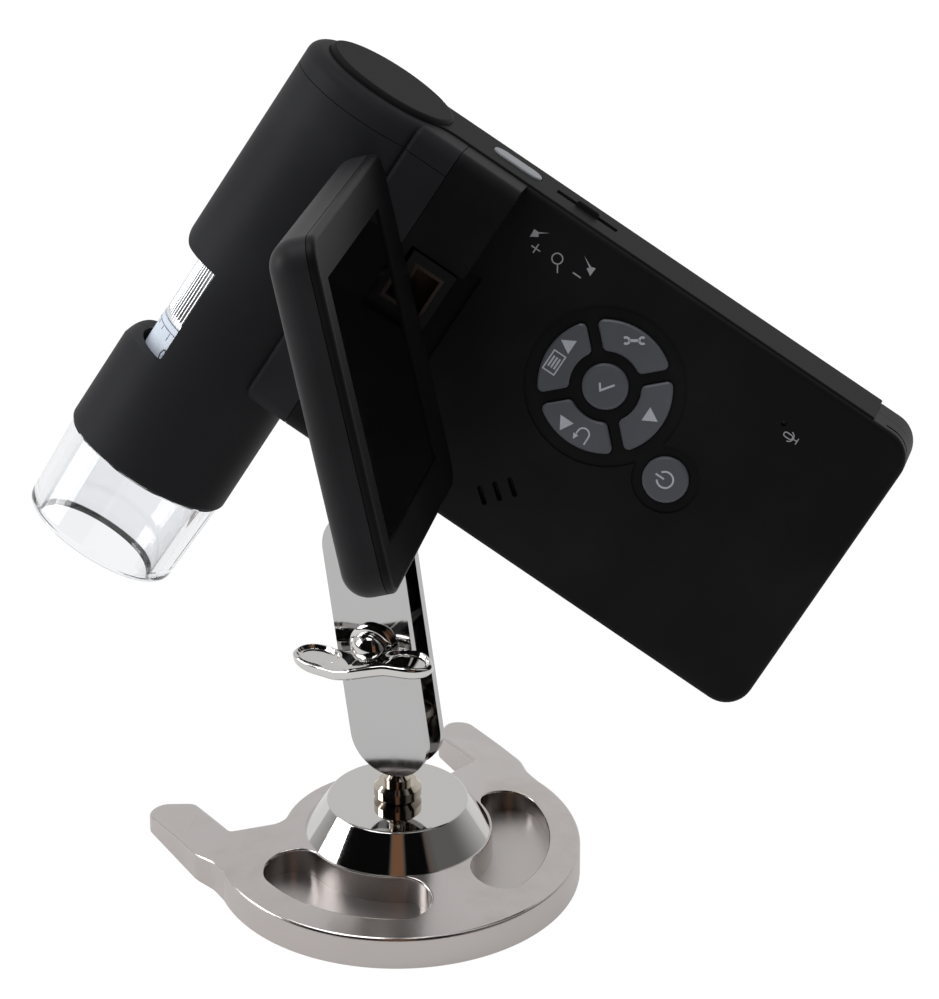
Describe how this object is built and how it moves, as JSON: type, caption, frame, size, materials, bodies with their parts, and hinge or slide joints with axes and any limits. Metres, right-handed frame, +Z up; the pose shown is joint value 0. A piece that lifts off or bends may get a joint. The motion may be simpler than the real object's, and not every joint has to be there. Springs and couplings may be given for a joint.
{
  "type": "digital microscope",
  "caption": "Hand-held digital microscope with focus ring, clear tip, keypad body and a folding swivel display, on a ball-jointed clamp stand.",
  "frame": {"origin": "centre of the foot's underside, under the lower ball", "axes": "+Z up, the foot's two pockets towards -Y and its two arms towards +Y"},
  "size_m": [0.1625, 0.1506, 0.1973],
  "materials": {
    "band_white": "bluish white scale band",
    "battery_wrap": "plain battery wrap",
    "black_case": "near-black soft-touch moulding",
    "black_flap": "soft black port flap",
    "black_lid": "near-black soft-touch moulding",
    "black_trim": "near-black satin moulding",
    "board_green": "printed circuit board",
    "cable_amber": "flat flexible cable",
    "chrome_plate": "polished plated strip",
    "chrome_turned": "polished plated turning",
    "clear_acrylic": "clear acrylic sleeve",
    "display_black": "glossy dark display window",
    "hinge_steel": "pressed steel hinge",
    "inner_black": "black inner moulding",
    "insert_brass": "knurled brass insert",
    "key_slate": "slate grey keys with light pictograms",
    "led_clear": "white light emitting diode",
    "lens_glass": "polished lens",
    "mat_grey": "silicone key mat",
    "nickel_cast": "nickel-plated casting",
    "nickel_wing": "plated casting",
    "panel_grey": "liquid crystal panel",
    "ring_silver": "finely ribbed satin ring",
    "sensor_black": "image sensor",
    "shutter_blue": "light grey-blue button",
    "socket_steel": "pressed steel shell",
    "steel_screw": "small steel screw"
  },
  "bodies": {
    "stand": {"foot": "nickel_cast", "foot_boss": "chrome_turned", "boss_screw": "steel_screw"},
    "lower_stud": {"lower_ball_stud": "chrome_turned"},
    "clamp": {"front_plate": "chrome_plate", "rear_plate": "chrome_plate", "clamp_nut": "chrome_plate"},
    "wing": {"wing_screw": "nickel_wing"},
    "upper_stud": {"upper_ball_stud": "chrome_turned"},
    "handset": {"barrel_front_shell": "black_case", "barrel_rear_shell": "black_case", "top_trim": "black_trim", "lens_tube": "inner_black", "nose_plate": "inner_black", "led_board": "board_green", "leds": "led_clear", "sensor_board": "board_green", "image_sensor": "sensor_black", "sensor_cable": "cable_amber", "front_panel": "black_case", "rear_shell": "black_case", "case_screws": "steel_screw", "main_board": "board_green", "key_mat": "mat_grey", "side_board": "board_green", "speaker": "inner_black", "microphone": "socket_steel", "battery": "battery_wrap", "tripod_insert": "insert_brass", "fold_pins": "hinge_steel", "usb_socket": "socket_steel", "tv_socket": "socket_steel", "card_socket": "socket_steel"},
    "hinge": {"hinge_block": "black_trim", "swivel_bracket": "hinge_steel"},
    "lid": {"swivel_pin": "hinge_steel", "lid_back": "black_lid", "lid_bezel": "black_lid", "lcd_panel": "panel_grey", "lcd_glass": "display_black"},
    "focus": {"focus_ring": "ring_silver", "scale_band": "band_white"},
    "carriage": {"lens_carriage": "inner_black", "front_lens": "lens_glass", "rear_lens": "lens_glass"},
    "tip": {"clear_tip": "clear_acrylic"},
    "menu_button": {"menu_key": "key_slate"},
    "settings_button": {"settings_key": "key_slate"},
    "play_button": {"play_key": "key_slate"},
    "return_button": {"return_key": "key_slate"},
    "ok_button": {"ok_key": "key_slate"},
    "power_button": {"power_key": "key_slate"},
    "shutter": {"shutter_button": "shutter_blue"},
    "dial": {"zoom_dial": "black_trim"},
    "cover": {"battery_cover": "black_case"},
    "flap": {"port_flap": "black_flap"}
  },
  "joints": [
    {"name": "stand_turn", "type": "hinge", "parent": "stand", "child": "lower_stud", "pos_m": [0, 0, 0.0358], "axis": [0, 0, 1], "continuous": true},
    {"name": "arm_tilt", "type": "hinge", "parent": "lower_stud", "child": "clamp", "pos_m": [0, 0, 0.0358], "axis": [0.8439, 0.5364, 0.0112], "range_deg": [-30, 25]},
    {"name": "wing_turn", "type": "hinge", "parent": "clamp", "child": "wing", "pos_m": [-0.00188, 0.00249, 0.05813], "axis": [-0.8439, -0.5364, -0.0112], "range_deg": [0, 360]},
    {"name": "head_tilt", "type": "hinge", "parent": "clamp", "child": "upper_stud", "pos_m": [-0.00376, 0.00498, 0.08047], "axis": [0.8439, 0.5364, 0.0112], "range_deg": [-12, 12]},
    {"name": "handset_turn", "type": "hinge", "parent": "upper_stud", "child": "handset", "pos_m": [-0.00376, 0.00498, 0.08047], "axis": [0.5426, -0.1293, 0.83], "range_deg": [-120, 130]},
    {"name": "lid_fold", "type": "hinge", "parent": "handset", "child": "hinge", "pos_m": [0.00271, 0.00046, 0.13734], "axis": [0.5426, -0.1293, 0.83], "range_deg": [-3, 18]},
    {"name": "lid_swivel", "type": "hinge", "parent": "hinge", "child": "lid", "pos_m": [0.00271, 0.00046, 0.13734], "axis": [-0.5709, -0.7816, 0.2515], "range_deg": [-45.5, 134.5]},
    {"name": "focus_turn", "type": "hinge", "parent": "handset", "child": "focus", "pos_m": [-0.01219, 0.02941, 0.14075], "axis": [0.5426, -0.1293, 0.83], "range_deg": [-120, 120]},
    {"name": "lens_slide", "type": "slide", "parent": "handset", "child": "carriage", "axis": [0.5426, -0.1293, 0.83], "range_m": [-0.006, 0.006]},
    {"name": "tip_slide", "type": "slide", "parent": "handset", "child": "tip", "axis": [-0.5426, 0.1293, -0.83], "range_m": [0, 0.022]},
    {"name": "menu_press", "type": "slide", "parent": "handset", "child": "menu_button", "axis": [0.6024, 0.7485, -0.2772], "range_m": [0, 0.0005], "stiffness_N_per_m": 300},
    {"name": "settings_press", "type": "slide", "parent": "handset", "child": "settings_button", "axis": [0.6024, 0.7485, -0.2772], "range_m": [0, 0.0005], "stiffness_N_per_m": 300},
    {"name": "play_press", "type": "slide", "parent": "handset", "child": "play_button", "axis": [0.6024, 0.7485, -0.2772], "range_m": [0, 0.0005], "stiffness_N_per_m": 300},
    {"name": "return_press", "type": "slide", "parent": "handset", "child": "return_button", "axis": [0.6024, 0.7485, -0.2772], "range_m": [0, 0.0005], "stiffness_N_per_m": 300},
    {"name": "ok_press", "type": "slide", "parent": "handset", "child": "ok_button", "axis": [0.6024, 0.7485, -0.2772], "range_m": [0, 0.0005], "stiffness_N_per_m": 300},
    {"name": "power_press", "type": "slide", "parent": "handset", "child": "power_button", "axis": [0.6024, 0.7485, -0.2772], "range_m": [0, 0.0005], "stiffness_N_per_m": 300},
    {"name": "shutter_press", "type": "slide", "parent": "handset", "child": "shutter", "axis": [-0.5426, 0.1293, -0.83], "range_m": [0, 0.0008], "stiffness_N_per_m": 300},
    {"name": "zoom_turn", "type": "hinge", "parent": "handset", "child": "dial", "pos_m": [0.03844, -0.00412, 0.1458], "axis": [-0.6024, -0.7485, 0.2772], "range_deg": [-14, 14], "stiffness_Nm_per_rad": 0.02},
    {"name": "cover_slide", "type": "slide", "parent": "handset", "child": "cover", "axis": [0.5855, -0.6504, -0.484], "range_m": [0, 0.06]},
    {"name": "flap_turn", "type": "hinge", "parent": "handset", "child": "flap", "pos_m": [0.06957, -0.05647, 0.07839], "axis": [0.6024, 0.7485, -0.2772], "range_deg": [0, 100]}
  ],
  "couplings": [
    {"joint": "lens_slide", "follows": "focus_turn", "m_per_rad": 0.00286}
  ]
}
